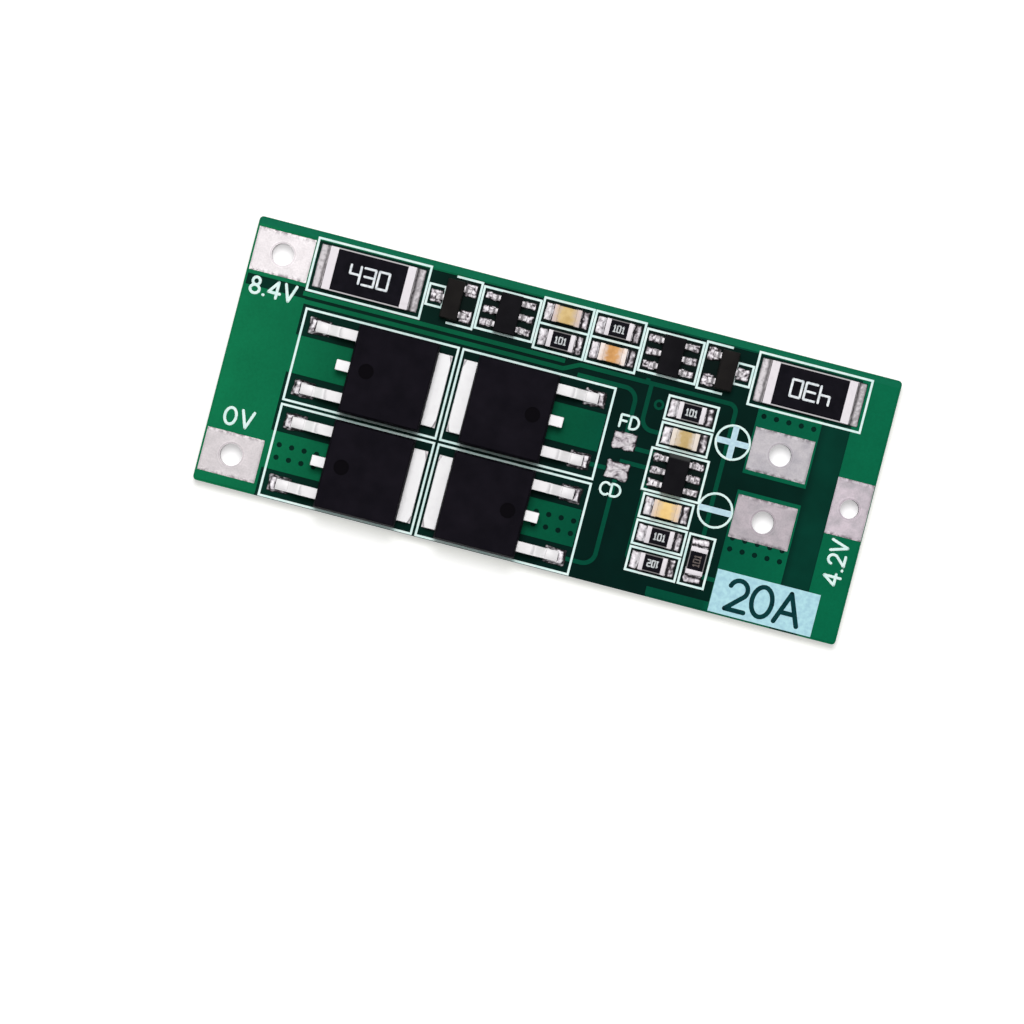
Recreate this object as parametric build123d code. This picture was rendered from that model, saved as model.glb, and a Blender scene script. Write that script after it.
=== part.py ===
from build123d import *
from math import dist
import os

# Board and its layers, in millimetres
board_thickness = 1.2
board_corner = 0.3
land_rise = 0.1  # tinned land above the laminate
copper_rise = 0.07  # masked copper above the laminate
ink_rise = 0.03  # printed ink above the masked copper
copper_inset = 0.15  # masked copper stays this far inside the board's edge
ink_line = 0.16
ink_clearance = 0.19  # from a land to the middle of the printed line beside it

# Wire terminals: a tinned land on each face and a plated hole between them
pack_pad_length = 4.2
pack_pad_width = 3.15
output_pad_length = 4.37
output_pad_width = 3.13
tap_pad_length = 2.69
tap_pad_width = 4.14
wire_hole_radius = 0.8
tap_hole_radius = 0.68
plating = 0.16  # copper and the solder that lines it

# Test pads
test_pad_length = 1.7
test_pad_width = 1.3
test_pad_solder = 0.12

# Power transistor: moulded body, drain tab and two formed leads
power_body_length = 6.0
power_body_width = 6.5
power_body_height = 2.3
power_parting = 1.15  # mould line above the seat
power_draft = 6.0
power_tab_thickness = 0.5
power_tab_width = 5.33
power_tab_reach = 1.0
power_tab_lap = 0.5  # under the body, at the tab's full width
power_tab_corner_x = 0.2
power_tab_corner_y = 0.6
power_slug_length = 4.2  # under the body, from the body's tab end
power_slug_width = 4.7
power_lead_thickness = 0.5
power_lead_width = 0.78
power_lead_pitch = 2.286
power_lead_reach = 3.0
power_lead_rise = 0.9  # underside of the level stretch above the seat
power_lead_bend = 0.2  # inside of the bend
power_lead_embed = 0.9
power_foot_length = 1.05
power_ramp_length = 0.8
power_stub_reach = 0.95
power_dimple_radius = 0.55
power_dimple_depth = 0.08
power_dimple_inset = 1.3
power_land_toe = 0.55
power_land_side = 0.22
power_solder = 0.3
power_frame_foot_gap = 0.45
power_frame_tab_gap = 0.25
power_frame_side_gap = 0.1

# Six-lead chip and three-lead transistor share their leads
small_body_height = 1.0
small_body_stand = 0.1
small_draft = 7.0
small_lead_thickness = 0.15
small_lead_rise = 0.5
small_lead_embed = 0.25
small_foot_length = 0.35
small_ramp_length = 0.15
small_lead_pitch = 0.95
small_solder = 0.09
six_body_width = 1.6
six_body_length = 2.9
six_lead_width = 0.4
six_lead_reach = 0.6
six_land_toe = 0.5
six_land_width = 0.6
six_frame_side_gap = 0.07
three_body_width = 1.3
three_body_length = 2.9
three_lead_width = 0.45
three_lead_reach = 0.55
three_land_toe = 0.43
three_land_width = 0.95
three_bracket_gap = 0.25
three_box_side_gap = 0.28

# Chip resistors and capacitors
chip_length = 2.0
chip_width = 1.25
chip_resistor_height = 0.5
chip_capacitor_height = 0.85
chip_terminal_length = 0.35
chip_terminal_wall = 0.04
chip_glaze_margin = 0.15
chip_land_reach = 0.63
chip_land_length = 1.1
chip_land_width = 1.32
chip_wide_frame = 1.84  # width of the frame round a chip of the top row or an upright chip
chip_solder = 0.4
big_length = 6.35
big_width = 3.15
big_height = 0.6
big_terminal_length = 0.62
big_terminal_wall = 0.05
big_glaze_margin = 0.18
big_land_reach = 0.7
big_land_length = 1.6
big_land_width = 3.2
big_solder = 0.5
big_frame_side_gap = 0.32
big_frame_end_gap = 0.27
glaze_end_gap = 0.02
glaze_rise = 0.06
solder_slope = 35.0
solder_toe_rise = 0.06  # height of a fillet at the outer end of its land
solder_knee = 0.3  # of a fillet's reach and of its height, where it turns steep

# Gaps of the floor plan
pack_pad_edge_gap = 0.15
pack_pad_top_gap = 0.74
pack_pad_bottom_gap = 0.8
pack_pad_row_gap = 0.16
pack_pad_block_gap = 0.52
row_edge_gap = 0.49
row_gap = 0.2
row_end_gap = 0.5
block_edge_gap = 0.12
block_gap = 0.35
track_channel = 1.3
test_pad_gap = 0.72
test_pad_column_gap = 1.18
test_pad_pitch = 2.17
test_pad_offset = 0.35  # middle of the pair above the protection chip's middle
column_row_gap = 0.8
column_gap = 0.26
column_edge_gap = 1.5
sign_gap = 0.81
output_row_gap = 1.42
output_pad_gap = 1.84
output_label_gap = 2.41
output_tap_gap = 2.23
tap_edge_gap = 0.06
label_overhang = 0.1
label_end_gap = 1.85
label_width = 3.1
label_edge_gap = 0.13

# Tracks, vias and the channels between the pours
track_width = 0.32
track_row_gap = 0.3  # from the top row to the middle of the track below it
track_block_gap = 0.45  # from the power block to the middle of the track above it
test_track_gap = 0.28
track_bend = 0.9
track_bend_share = 0.45  # of the shortest run, at most
sign_track_gap = 0.95
via_radius = 0.2
via_sides = 8
via_pitch = 0.92
via_count = 5  # in the row beside an output terminal
via_land_radius = 0.38
via_row_gap = 0.85
pour_gap = 0.3
pour_side = 0.15
split_pour_gap = 0.8
bottom_pour_width = 0.6
split_channel_width = 0.4
drain_channel_width = 0.85
tap_channel_width = 1.2

# Printed blocks of the underside
name_band_width = 3.4
band_end_gap = 0.95
rating_block_length = 7.5
rating_box_length = 16.2
rating_box_width = 3.4
rating_band_gap = 0.8
rating_middle = -2.8

# Heights above the table and the sizes that follow from the values above
laminate_bottom = land_rise
laminate_top = laminate_bottom + board_thickness
power_frame_length = (
    power_frame_foot_gap + power_land_toe + power_lead_reach + power_body_length
    + power_tab_reach + power_frame_tab_gap
)
power_frame_width = power_body_width + 2 * power_frame_side_gap
six_land_end = six_body_width / 2 + six_lead_reach + six_land_toe
six_frame_length = 2 * (six_land_end + ink_clearance)
six_frame_width = six_body_length + 2 * six_frame_side_gap
three_land_end = three_body_width / 2 + three_lead_reach + three_land_toe
three_frame_length = 2 * (three_land_end + ink_clearance)
three_frame_width = three_body_length + 2 * three_bracket_gap
chip_land_end = chip_length / 2 + chip_land_reach
chip_frame_length = 2 * (chip_land_end + ink_clearance)
chip_frame_width = chip_land_width + 2 * ink_clearance
big_frame_length = big_length + 2 * (big_land_reach + big_frame_end_gap)
big_frame_width = big_land_width + 2 * big_frame_side_gap


def rectangle(x0, x1, y0, y1):
    return Pos((x0 + x1) / 2, (y0 + y1) / 2) * Rectangle(x1 - x0, y1 - y0)


def slab(outline, bottom, top):
    return extrude(Pos(0, 0, bottom) * outline, amount=top - bottom)


def block(x0, x1, y0, y1, z0, z1):
    return slab(rectangle(x0, x1, y0, y1), z0, z1)


def frame_line(length, width):
    return Rectangle(length + ink_line, width + ink_line) - Rectangle(length - ink_line, width - ink_line)


def solder_mound(x0, x1, y0, y1, height):
    # A land with solder that slopes up from its edges
    outline = rectangle(x0, x1, y0, y1)
    solder = extrude(Pos(0, 0, land_rise) * outline, amount=height, taper=solder_slope)
    return slab(outline, 0, land_rise) + solder


def formed_lead(reach, foot, ramp, embed, rise, thickness, width, bend=0):
    # A flat strip: foot on the land, ramp, level stretch to the body at x = 0, anchor inside it
    middle = land_rise + thickness / 2
    points = [
        (-reach, 0, middle),
        (foot - reach, 0, middle),
        (foot + ramp - reach, 0, middle + rise),
        (embed, 0, middle + rise),
    ]
    path = FilletPolyline(*points, radius=bend + thickness / 2) if bend else Polyline(*points)
    section = Plane(path @ 0, x_dir=(0, 1, 0), z_dir=path % 0) * Rectangle(width, thickness)
    return sweep(section, path, transition=Transition.RIGHT)


def moulded_body(length, width, bottom, parting, top, draft):
    # Two mould halves that meet on the parting line and taper away from it
    outline = Pos(0, 0, parting) * Rectangle(length, width)
    upper = extrude(outline, amount=top - parting, taper=draft)
    lower = extrude(outline, amount=bottom - parting, taper=draft)
    return upper + lower


def power_transistor():
    # Origin at the middle of its printed frame, leads towards -x and tab towards +x
    tip = power_frame_foot_gap + power_land_toe - power_frame_length / 2
    face = tip + power_lead_reach
    back = face + power_body_length
    tab_end = back + power_tab_reach
    slug_start = back - power_slug_length
    half_tab = power_tab_width / 2
    half_lead = power_lead_width / 2
    plate_top = land_rise + power_tab_thickness
    stub_bottom = land_rise + power_lead_rise
    stub_top = stub_bottom + power_lead_thickness

    tab_outline = make_face(Polyline(
        (back - power_tab_lap, -half_tab),
        (tab_end - power_tab_corner_x, -half_tab),
        (tab_end, power_tab_corner_y - half_tab),
        (tab_end, half_tab - power_tab_corner_y),
        (tab_end - power_tab_corner_x, half_tab),
        (back - power_tab_lap, half_tab),
        close=True,
    ))
    slug = rectangle(slug_start, back, -power_slug_width / 2, power_slug_width / 2)
    riser_end = slug_start + power_lead_thickness
    drain = slab(tab_outline + slug, land_rise, plate_top)
    drain += block(slug_start, riser_end, -half_lead, half_lead, land_rise, stub_top)
    drain += block(face - power_stub_reach, riser_end, -half_lead, half_lead, stub_bottom, stub_top)

    lead = Pos(face, 0, 0) * formed_lead(
        power_lead_reach, power_foot_length, power_ramp_length, power_lead_embed,
        power_lead_rise, power_lead_thickness, power_lead_width, power_lead_bend,
    )
    leads = [Pos(0, side * power_lead_pitch, 0) * lead for side in (-1, 1)]

    body = Pos((face + back) / 2, 0, 0) * moulded_body(
        power_body_length, power_body_width, land_rise, land_rise + power_parting,
        land_rise + power_body_height, power_draft,
    )
    body_top = land_rise + power_body_height
    dimple = Pos(face + power_dimple_inset, 0) * Circle(power_dimple_radius)
    body -= slab(dimple, body_top - power_dimple_depth, body_top)
    body -= [drain, *leads]

    half_land = half_lead + power_land_side
    land = solder_mound(
        tip - power_land_toe, tip + power_foot_length, -half_land, half_land, power_solder,
    )
    joints = [Pos(0, side * power_lead_pitch, 0) * (land - lead) for side in (-1, 1)]
    joints.append(block(slug_start, tab_end, -half_tab, half_tab, 0, land_rise))
    frame = frame_line(power_frame_length, power_frame_width)
    return {"body": body, "drain_tab": drain, "leads": leads, "joints": joints, "frame": frame}


def leaded_chip(body_width, body_length, lead_width, reach, toe, land_width, left, right):
    # A small moulded body with formed leads at the listed heights on its left and right sides
    half = body_width / 2
    lead = Pos(-half, 0, 0) * formed_lead(
        reach, small_foot_length, small_ramp_length, small_lead_embed,
        small_lead_rise, small_lead_thickness, lead_width,
    )
    land = solder_mound(
        -half - reach - toe, -half - reach + small_foot_length + small_ramp_length,
        -land_width / 2, land_width / 2, small_solder,
    )
    places = [Pos(0, y, 0) for y in left] + [Pos(0, y, 0) * Rot(0, 0, 180) for y in right]
    leads = [place * lead for place in places]
    joints = [place * (land - lead) for place in places]
    bottom = land_rise + small_body_stand
    parting = land_rise + small_lead_rise + small_lead_thickness / 2
    body = moulded_body(
        body_width, body_length, bottom, parting, bottom + small_body_height, small_draft,
    )
    return {"body": body - leads, "leads": leads, "joints": joints}


def six_lead_chip():
    rows = [step * small_lead_pitch for step in (-1, 0, 1)]
    chip = leaded_chip(
        six_body_width, six_body_length, six_lead_width, six_lead_reach, six_land_toe,
        six_land_width, rows, rows,
    )
    chip["frame"] = frame_line(six_frame_length, six_frame_width)
    return chip


def three_lead_transistor():
    chip = leaded_chip(
        three_body_width, three_body_length, three_lead_width, three_lead_reach, three_land_toe,
        three_land_width, [0], [-small_lead_pitch, small_lead_pitch],
    )
    half_length = three_frame_length / 2
    box_length = half_length - three_body_width / 2
    box_width = three_land_width + 2 * three_box_side_gap
    box = Pos(box_length / 2 - half_length, 0) * frame_line(box_length, box_width)
    bracket = Pos(half_length / 2, 0) * frame_line(half_length, three_frame_width)
    covered = Rectangle(three_body_width, three_frame_width - ink_line)
    chip["frame"] = box + bracket - covered
    return chip


def wrapped_chip(length, width, height, terminal, wall, side_wall):
    # A ceramic core and the two metal ends wrapped round it
    core = block(
        wall - length / 2, length / 2 - wall, side_wall - width / 2, width / 2 - side_wall,
        land_rise + wall, land_rise + height - wall,
    )
    ends = []
    for x0, x1 in ((-length / 2, terminal - length / 2), (length / 2 - terminal, length / 2)):
        ends.append(block(x0, x1, -width / 2, width / 2, land_rise, land_rise + height) - core)
    return core, ends


def end_joints(length, width, reach, land_length, land_width, solder):
    # The two lands of a chip, with solder that climbs its end faces in a hollow curve
    face = length / 2
    end = face + reach
    fillet = make_face(Polyline(
        (face, land_rise),
        (end, land_rise),
        (end - solder_toe_rise, land_rise + solder_toe_rise),
        (face + reach * solder_knee, land_rise + solder * solder_knee),
        (face, land_rise + solder),
        close=True,
    ))
    joint = block(end - land_length, end, -land_width / 2, land_width / 2, 0, land_rise)
    joint += extrude(Plane.XZ * fillet, amount=width / 2, both=True)
    return [joint, Rot(0, 0, 180) * joint]


def resistor(length, width, height, terminal, wall, glaze_margin, reach, land_length, land_width,
             solder, frame):
    core, ends = wrapped_chip(length, width, height, terminal, wall, 0)
    glaze_x = length / 2 - terminal - glaze_end_gap
    glaze_y = width / 2 - glaze_margin
    glaze_bottom = land_rise + height - wall
    body = core + block(-glaze_x, glaze_x, -glaze_y, glaze_y, glaze_bottom, glaze_bottom + glaze_rise)
    joints = end_joints(length, width, reach, land_length, land_width, solder)
    return {"body": body, "terminals": ends, "joints": joints, "frame": frame}


def big_resistor():
    return resistor(
        big_length, big_width, big_height, big_terminal_length, big_terminal_wall, big_glaze_margin,
        big_land_reach, big_land_length, big_land_width, big_solder,
        frame_line(big_frame_length, big_frame_width),
    )


def chip_resistor():
    return resistor(
        chip_length, chip_width, chip_resistor_height, chip_terminal_length, chip_terminal_wall,
        chip_glaze_margin, chip_land_reach, chip_land_length, chip_land_width, chip_solder,
        frame_line(chip_frame_length, chip_frame_width),
    )


def chip_capacitor():
    core, ends = wrapped_chip(
        chip_length, chip_width, chip_capacitor_height, chip_terminal_length, chip_terminal_wall,
        chip_terminal_wall,
    )
    joints = end_joints(
        chip_length, chip_width, chip_land_reach, chip_land_length, chip_land_width, chip_solder,
    )
    frame = frame_line(chip_frame_length, chip_frame_width)
    return {"body": core, "terminals": ends, "joints": joints, "frame": frame}


def wire_terminal(length, width, hole_radius):
    # A land on each face, joined through the board by the plated wall of the hole
    land = Rectangle(length, width)
    sleeve = Circle(hole_radius + plating)
    solid = slab(land, 0, laminate_bottom)
    solid += slab(sleeve, laminate_bottom, laminate_top)
    solid += slab(land, laminate_top, laminate_top + land_rise)
    return solid - slab(Circle(hole_radius), 0, laminate_top + land_rise)


# The floor plan. Lengths add up along the lower half of the board and along its top row
column_width = max(chip_frame_length, six_frame_length)
column_sizes = [chip_frame_width] * 2 + [six_frame_width] + [chip_frame_width] * 3
row_sizes = [
    big_frame_length, three_frame_length, six_frame_length, chip_frame_length,
    chip_frame_length, six_frame_length, three_frame_length, big_frame_length,
]
row_width = max(big_frame_width, 2 * chip_wide_frame, six_frame_width, three_frame_width)
lower_length = (
    pack_pad_edge_gap + pack_pad_length + pack_pad_block_gap + 2 * power_frame_length + block_gap
    + test_pad_gap + test_pad_length + test_pad_column_gap + column_width + chip_wide_frame
    + sign_gap + output_pad_length + output_tap_gap + tap_pad_length + tap_edge_gap
)
row_start = pack_pad_edge_gap + pack_pad_length + pack_pad_row_gap
upper_length = row_start + sum(row_sizes) + row_gap * (len(row_sizes) - 1) + row_end_gap
board_length = max(lower_length, upper_length)
block_chain = block_edge_gap + 2 * power_frame_width + block_gap + track_channel
column_chain = (
    column_edge_gap + sum(column_sizes) + column_gap * (len(column_sizes) - 1) + column_row_gap
)
output_chain = (
    label_edge_gap + label_width + output_label_gap + 2 * output_pad_width + output_pad_gap
    + output_row_gap
)
board_width = max(block_chain, column_chain, output_chain) + row_width + row_edge_gap
left = -board_length / 2
right = board_length / 2
bottom = -board_width / 2
top = board_width / 2
row_y = top - row_edge_gap - row_width / 2
row_bottom = row_y - row_width / 2
pair_step = chip_wide_frame / 2

row_x = []
row_edge = left + row_start
for size in row_sizes:
    row_x.append(row_edge + size / 2)
    row_edge += size + row_gap

pack_x = left + pack_pad_edge_gap + pack_pad_length / 2
pack_right = pack_x + pack_pad_length / 2
pack_plus_y = top - pack_pad_top_gap - pack_pad_width / 2
pack_minus_y = bottom + pack_pad_bottom_gap + pack_pad_width / 2

block_left = pack_right + pack_pad_block_gap
block_right = block_left + 2 * power_frame_length + block_gap
block_top = row_bottom - track_channel
block_x = [block_left + power_frame_length / 2, block_right - power_frame_length / 2]
block_y = [block_top - power_frame_width / 2, block_top - 1.5 * power_frame_width - block_gap]

test_x = block_right + test_pad_gap + test_pad_length / 2
column_x = test_x + test_pad_length / 2 + test_pad_column_gap + column_width / 2
column_right = column_x + column_width / 2
column_y = []
column_edge = row_bottom - column_row_gap
for size in column_sizes:
    column_y.append(column_edge - size / 2)
    column_edge -= size + column_gap
column_bottom = column_edge + column_gap
protection_y = column_y[2]
test_y = [
    protection_y + test_pad_offset + test_pad_pitch / 2,
    protection_y + test_pad_offset - test_pad_pitch / 2,
]

upright_x = column_right + chip_wide_frame / 2
upright_y = column_bottom + chip_frame_length / 2
output_left = column_right + chip_wide_frame + sign_gap
output_x = output_left + output_pad_length / 2
output_right = output_x + output_pad_length / 2
plus_y = row_bottom - output_row_gap - output_pad_width / 2
minus_y = plus_y - output_pad_width - output_pad_gap
tap_x = right - tap_edge_gap - tap_pad_length / 2
tap_y = (plus_y + minus_y) / 2

ring_spot = (column_x - column_width / 2 - via_land_radius + ink_line / 2, column_y[0])

wires = {
    "terminal_pack_plus": (pack_x, pack_plus_y, pack_pad_length, pack_pad_width, wire_hole_radius),
    "terminal_pack_minus": (pack_x, pack_minus_y, pack_pad_length, pack_pad_width, wire_hole_radius),
    "terminal_output_plus": (output_x, plus_y, output_pad_length, output_pad_width, wire_hole_radius),
    "terminal_output_minus": (output_x, minus_y, output_pad_length, output_pad_width, wire_hole_radius),
    "terminal_middle_tap": (tap_x, tap_y, tap_pad_length, tap_pad_width, tap_hole_radius),
}

nodes = {}
joints = []
frames = []


def place(name, part, x, y, turn=0):
    spot = Pos(x, y, laminate_top) * Rot(0, 0, turn)
    for piece in ("body", "drain_tab", "leads", "terminals"):
        if piece in part:
            nodes[f"{name}_{piece}"] = spot_all(spot, part[piece])
    joints.extend(spot_all(spot, part["joints"]))
    frames.append(Pos(x, y) * Rot(0, 0, turn) * part["frame"])


def spot_all(spot, pieces):
    if not isinstance(pieces, list):
        pieces = [pieces]
    return [spot * piece for piece in pieces]


def place_parts():
    power = power_transistor()
    for side, x, turn in (("left", block_x[0], 0), ("right", block_x[1], 180)):
        for level, y in (("upper", block_y[0]), ("lower", block_y[1])):
            place(f"power_transistor_{level}_{side}", power, x, y, turn)

    bleed = big_resistor()
    place("bleed_resistor_left", bleed, row_x[0], row_y)
    place("bleed_resistor_right", bleed, row_x[7], row_y, 180)
    switch = three_lead_transistor()
    place("switch_transistor_left", switch, row_x[1], row_y)
    place("switch_transistor_right", switch, row_x[6], row_y, 180)
    six = six_lead_chip()
    place("balance_chip_left", six, row_x[2], row_y)
    place("balance_chip_right", six, row_x[5], row_y)
    place("protection_chip", six, column_x, protection_y)

    wide_frame = frame_line(chip_frame_length, chip_wide_frame)
    small = chip_resistor()
    place("chip_resistor_3", small, column_x, column_y[0])
    place("chip_resistor_4", small, column_x, column_y[4])
    place("chip_resistor_5", small, column_x, column_y[5], 180)
    small["frame"] = wide_frame
    place("chip_resistor_1", small, row_x[3], row_y - pair_step)
    place("chip_resistor_2", small, row_x[4], row_y + pair_step)
    place("chip_resistor_6", small, upright_x, upright_y, 90)
    capacitor = chip_capacitor()
    place("capacitor_3", capacitor, column_x, column_y[1])
    place("capacitor_4", capacitor, column_x, column_y[3])
    capacitor["frame"] = wide_frame
    place("capacitor_1", capacitor, row_x[3], row_y + pair_step)
    place("capacitor_2", capacitor, row_x[4], row_y - pair_step)


def place_terminals():
    for name, (x, y, length, width, hole_radius) in wires.items():
        nodes[name] = [Pos(x, y, 0) * wire_terminal(length, width, hole_radius)]
    half_length = test_pad_length / 2
    half_width = test_pad_width / 2
    pad = solder_mound(-half_length, half_length, -half_width, half_width, test_pad_solder)
    for name, y in zip(("test_pad_upper", "test_pad_lower"), test_y):
        nodes[name] = [Pos(test_x, y, laminate_top) * pad]


def wire_lands():
    return [Pos(x, y) * Rectangle(length, width) for x, y, length, width, _ in wires.values()]


def vias():
    # Beside the output terminals, in the ring left of the column, and under two transistors' leads
    first_x = output_x - (via_count - 1) / 2 * via_pitch
    rows = [
        plus_y + output_pad_width / 2 + via_row_gap,
        minus_y - output_pad_width / 2 - via_row_gap,
    ]
    spots = [(first_x + step * via_pitch, y) for y in rows for step in range(via_count)]
    spots.append(ring_spot)
    foot = power_frame_foot_gap + power_land_toe
    for edge, inwards in ((block_left, 1), (block_right, -1)):
        for column in range(4):
            x = edge + inwards * (foot + (column - 0.5) * via_pitch)
            spots += [(x, block_y[1] + row * via_pitch / 2) for row in (-1, 1)]
    return [Pos(x, y) * RegularPolygon(via_radius, via_sides) for x, y in spots]


def track(*points):
    # Corners are rounded where both runs are long enough for the bend, and mitred elsewhere
    shortest = min(dist(start, end) for start, end in zip(points, points[1:]))
    bend = min(track_bend, shortest * track_bend_share)
    rounded = len(points) > 2 and bend > track_width / 2
    return trace(FilletPolyline(*points, radius=bend) if rounded else Polyline(*points), track_width)


def top_pours():
    reach_left = left + copper_inset
    reach_right = right - copper_inset
    reach_bottom = bottom + copper_inset
    reach_top = top - copper_inset
    split_y = row_bottom + pour_gap / 2
    outer = [
        rectangle(reach_left, reach_right, row_y + row_width / 2 - ink_line, reach_top),
        rectangle(reach_left, pack_right + pour_gap / 2, split_y, reach_top),
        rectangle(reach_left, block_left - pour_gap, reach_bottom, split_y - split_pour_gap),
        rectangle(output_right + output_tap_gap, reach_right, reach_bottom, reach_top),
        rectangle(column_x, output_left, reach_bottom, reach_bottom + bottom_pour_width),
    ]
    pour_left = output_left - pour_side
    pour_right = output_right + pour_side
    plus_bottom = plus_y - output_pad_width / 2 - pour_gap
    minus_top = minus_y + output_pad_width / 2 + pour_gap
    outer.append(rectangle(pour_left, pour_right, plus_bottom, row_bottom + ink_line))
    outer.append(rectangle(pour_left, pour_right, reach_bottom, minus_top))
    # Between the two feet of each power transistor
    half = power_lead_pitch - power_lead_width / 2 - power_land_side - pour_gap
    under = power_frame_foot_gap + power_land_toe + power_lead_reach + power_lead_embed
    for y in block_y:
        outer.append(rectangle(block_left - pour_gap, block_left + under, y - half, y + half))
        outer.append(rectangle(block_right - under, block_right - ink_line, y - half, y + half))
    return outer


def top_tracks():
    upper_y = row_bottom - track_row_gap
    lower_y = block_top + track_block_gap
    test_track_y = block_top + test_track_gap
    foot_x = block_right - power_frame_foot_gap
    jog_start = foot_x - power_land_toe - power_lead_reach
    jog_end = jog_start + 2 * (upper_y - lower_y)
    sign_x = column_right + sign_track_gap
    lead_x = column_x - six_land_end
    lead_end = lead_x + ink_line
    chip_x = column_x - chip_land_end + ink_clearance
    supply_x = test_x + test_pad_length / 2
    link_x = supply_x - track_width
    lower_foot = block_y[1] - power_lead_pitch
    return [
        track((pack_right, upper_y), (jog_start, upper_y)),
        track((block_left - pour_gap, lower_y), (jog_start, lower_y), (jog_end, upper_y),
              (sign_x, upper_y), (sign_x, upright_y + chip_land_end - ink_clearance)),
        track((jog_end, test_track_y), (test_x, test_track_y), (test_x, test_y[0])),
        track((link_x, row_bottom), (link_x, upper_y)),
        track((supply_x, upper_y), (supply_x, column_y[1]), (chip_x, column_y[1])),
        track((test_x, test_y[1]), (test_x, lower_foot), (foot_x - track_width, lower_foot)),
        track((foot_x - track_width, test_y[1]), (test_x, test_y[1])),
        track((test_x, test_y[0] - track_width), (lead_end, test_y[0] - track_width)),
        track((test_x, protection_y), (lead_end, protection_y)),
        track((lead_x, protection_y - small_lead_pitch), (lead_x, column_y[5]), (chip_x, column_y[5])),
        track((upright_x, upright_y - chip_length / 2), (output_left, upright_y - chip_length / 2)),
        Pos(*ring_spot) * Circle(via_land_radius),
    ]


def layer(outline, z0, z1, cutters):
    # A thin layer on a face of the board, kept clear of the pieces that pass through it
    return slab(outline, z0, z1) - cutters


def merged(shapes):
    outline = shapes[0]
    for shape in shapes[1:]:
        outline += shape
    return outline


def place_board():
    outline = RectangleRounded(board_length, board_width, board_corner)
    holes = [Pos(x, y) * Circle(radius + plating) for x, y, _, _, radius in wires.values()]
    nodes["circuit_board"] = [slab(outline - holes, laminate_bottom, laminate_top)]


def place_top_layers():
    lands = joints + nodes["test_pad_upper"] + nodes["test_pad_lower"]
    copper_top = laminate_top + copper_rise
    pours = merged(top_pours() + top_tracks()) - wire_lands() - vias()
    copper = layer(pours, laminate_top, copper_top, lands)
    label = rectangle(
        output_left - label_overhang, right - label_end_gap,
        bottom + label_edge_gap, bottom + label_edge_gap + label_width,
    )
    ink = layer(merged([*frames, label]), laminate_top, copper_top + ink_rise, [copper, *lands])
    nodes["top_copper"] = [copper]
    nodes["top_silkscreen"] = [ink]


def place_bottom_layers():
    # Seen from above: the split runs along the board, the other channels across it
    reach_x = board_length / 2 - copper_inset
    reach_y = board_width / 2 - copper_inset
    tap_edge = right - tap_edge_gap - tap_pad_length
    drain_x = block_x[0] + power_frame_length / 2 + block_gap / 2
    pours = rectangle(-reach_x, reach_x, -reach_y, reach_y)
    pours -= rectangle(-reach_x, tap_edge, -split_channel_width / 2, split_channel_width / 2)
    pours -= rectangle(tap_edge - tap_channel_width, tap_edge, -reach_y, reach_y)
    pours -= rectangle(
        drain_x - drain_channel_width / 2, drain_x + drain_channel_width / 2, -reach_y, 0,
    )
    copper_bottom = laminate_bottom - copper_rise
    copper = slab(pours - wire_lands() - vias(), copper_bottom, laminate_bottom)

    band_top = top - label_edge_gap
    band_bottom = band_top - name_band_width
    band = rectangle(pack_right + band_end_gap, output_left - band_end_gap, band_bottom, band_top)
    box_top = band_bottom - rating_band_gap
    box_bottom = box_top - rating_box_width
    box_left = rating_middle - rating_box_length / 2
    block_end = box_left + rating_block_length
    blank = rectangle(box_left, block_end, box_bottom, box_top)
    box = Pos(rating_middle, (box_top + box_bottom) / 2) * frame_line(rating_box_length, rating_box_width)
    ink = layer(merged([band, blank, box]), copper_bottom - ink_rise, laminate_bottom, [copper])
    nodes["bottom_copper"] = [copper]
    nodes["bottom_silkscreen"] = [ink]


place_parts()
place_terminals()
place_board()
place_top_layers()
place_bottom_layers()
nodes["solder_joints"] = joints

os.makedirs("parts", exist_ok=True)
for name, pieces in nodes.items():
    solids = [solid for piece in pieces for solid in piece.solids()]
    export_step(Compound(solids), f"parts/{name}.step")
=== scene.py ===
import math
import bmesh
import bpy
from mathutils import Matrix, Vector, noise


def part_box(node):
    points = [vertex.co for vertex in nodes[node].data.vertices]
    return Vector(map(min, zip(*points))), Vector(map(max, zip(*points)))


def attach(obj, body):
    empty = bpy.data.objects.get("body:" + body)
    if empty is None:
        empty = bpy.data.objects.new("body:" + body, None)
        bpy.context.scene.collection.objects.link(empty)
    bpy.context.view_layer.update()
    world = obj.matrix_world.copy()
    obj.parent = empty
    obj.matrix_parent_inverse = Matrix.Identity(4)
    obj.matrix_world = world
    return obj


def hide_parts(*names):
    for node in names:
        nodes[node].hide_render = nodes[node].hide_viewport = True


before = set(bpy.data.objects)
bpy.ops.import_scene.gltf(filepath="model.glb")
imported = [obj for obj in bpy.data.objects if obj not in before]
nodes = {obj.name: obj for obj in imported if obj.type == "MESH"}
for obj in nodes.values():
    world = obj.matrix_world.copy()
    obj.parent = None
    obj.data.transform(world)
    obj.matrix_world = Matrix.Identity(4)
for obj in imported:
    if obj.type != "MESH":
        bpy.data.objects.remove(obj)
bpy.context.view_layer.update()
mm = 0.001  # pieces are shaped in millimetres and scaled to metres when they are added
noise.seed_set(3)  # noise_vector draws its offsets from this
print("frame loaded:", len(nodes), "nodes")


# Material helpers

def screen(red, green, blue):
    # a colour given in screen values, as the linear one that shaders take
    linear = [((c / 255 + 0.055) / 1.055) ** 2.4 if c > 10 else c / 255 / 12.92 for c in (red, green, blue)]
    return (*linear, 1)


def grey(value):
    return (value, value, value, 1)


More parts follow.
